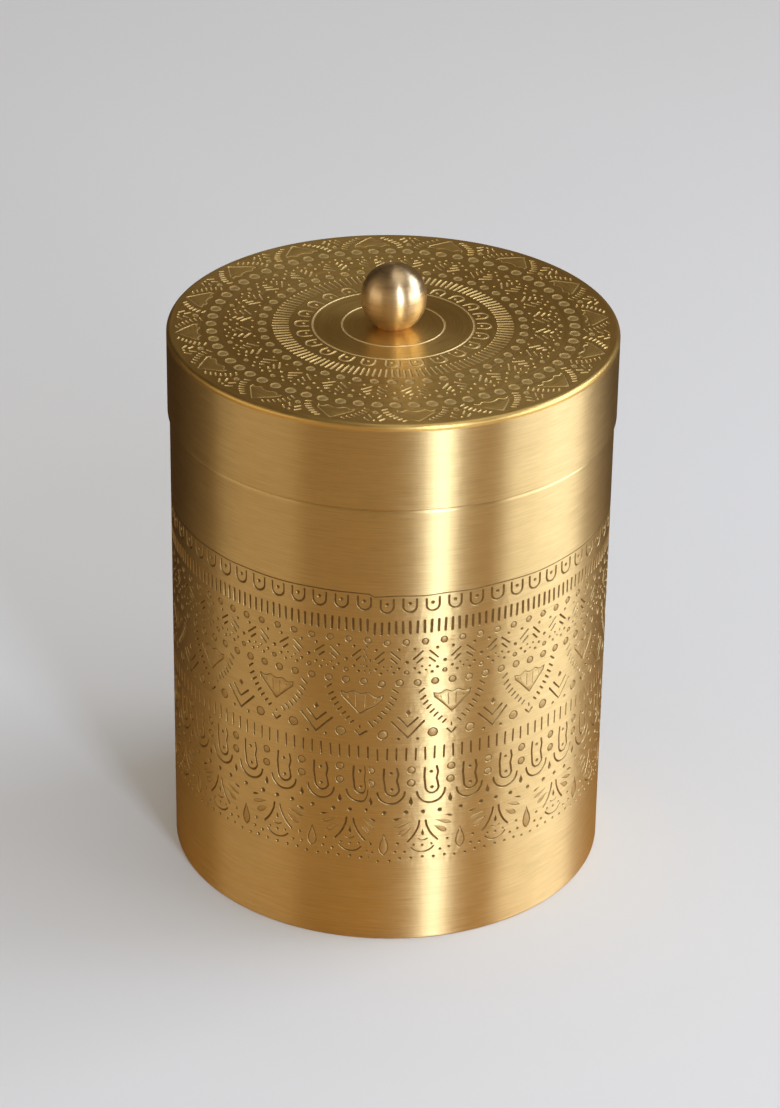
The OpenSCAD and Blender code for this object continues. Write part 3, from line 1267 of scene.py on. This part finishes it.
def soft_box(name, power, color, width, height):
    """A rectangular area light, which still has to be placed. Unturned, it shines down."""
    data = bpy.data.lights.new(name, "AREA")
    data.shape = "RECTANGLE"
    data.size = width
    data.size_y = height
    data.energy = power
    data.color = color
    light = bpy.data.objects.new(name, data)
    bpy.context.scene.collection.objects.link(light)
    return light


# Upright lights that face the tin's axis: name, azimuth in degrees from the camera's side to the right,
# distance from the axis, width, lower and upper edge, power and colour.
UPRIGHT_LIGHTS = (
    ("strip", 24, 1.2, 0.19, 0.02, 1.3, 10, (0.68, 0.79, 1.0)),
    ("side", 80, 0.95, 0.84, 0.02, 0.5, 5.1, (0.77, 0.85, 1.0)),
    ("window", 105, 1.1, 0.8, 0.5, 1.15, 7.4, (0.7, 0.79, 1.0)),
    ("fill", -68, 1.2, 1.05, 0.02, 0.6, 1.35, (1.0, 0.9, 0.76)),
)


def make_lights():
    for name, azimuth, distance, width, low, high, power, color in UPRIGHT_LIGHTS:
        light = soft_box(name, power, color, width, high - low)
        turned = math.radians(azimuth)
        light.location = polar(distance, turned, (low + high) / 2)
        light.rotation_euler = (TURN / 4, 0.0, turned)
    over = soft_box("over", 3.5, (1.0, 0.97, 0.93), width=1.2, height=1.2)
    over.location = (0.45, 0.1, 1.8)


CAMERA_PLACE = (0.0, -0.7752, 0.496)
CAMERA_PITCH = math.radians(28.485)
CAMERA_ROLL = math.radians(0.866)
CAMERA_LENS = 119.9


def make_camera():
    data = bpy.data.cameras.new("camera")
    data.lens = CAMERA_LENS
    data.sensor_width = 36.0
    camera = bpy.data.objects.new("camera", data)
    bpy.context.scene.collection.objects.link(camera)
    tilt = Matrix.Rotation(TURN / 4 - CAMERA_PITCH, 4, "X") @ Matrix.Rotation(CAMERA_ROLL, 4, "Z")
    camera.matrix_world = Matrix.Translation(CAMERA_PLACE) @ tilt
    bpy.context.scene.camera = camera
    bpy.context.scene.view_settings.view_transform = "Standard"


# ---------------------------------------------------------------- the whole scene

def main():
    # Each turned metal darkens in its recesses, partly patina and partly painted shade.
    plain = turned_metal(
        "plain_brass", bright=(0.74, 0.55, 0.27, 1), dark=(0.62, 0.44, 0.2, 1), rough=0.42, stretch=0.5,
    )
    wall = turned_metal(
        "brushed_brass", bright=(0.87, 0.67, 0.315, 1), dark=(0.8, 0.6, 0.27, 1), rough=0.4,
        stretch=0.94, shade_and_patina=0.94,
    )
    # The lid plate's recesses are painted a brighter colour: a painted glint, standing in for light caught
    # by their rounded edges.
    plate = turned_metal(
        "etched_plate", bright=(0.9, 0.63, 0.21, 1), dark=(0.8, 0.53, 0.17, 1), rough=0.4, stretch=0.5,
        painted_glint=(0.98, 0.78, 0.42, 1), satin=0.38,
    )
    ball = turned_metal(
        "knob_brass", bright=(0.85, 0.65, 0.38, 1), dark=(0.79, 0.58, 0.32, 1), rough=0.35, stretch=0.6,
        grain=4e-6, wave=2e-5,
    )
    braze = braze_metal()
    steel = zinc_steel()
    make_body([wall, plain])
    make_base([plain])
    make_neck([plain])
    make_joints([braze])
    make_lid_plate([plate, plain])
    make_skirt([wall, plain])
    make_knob([ball])
    make_washer([steel])
    make_screw([steel])
    make_floor()
    make_world()
    make_lights()
    make_camera()


main()
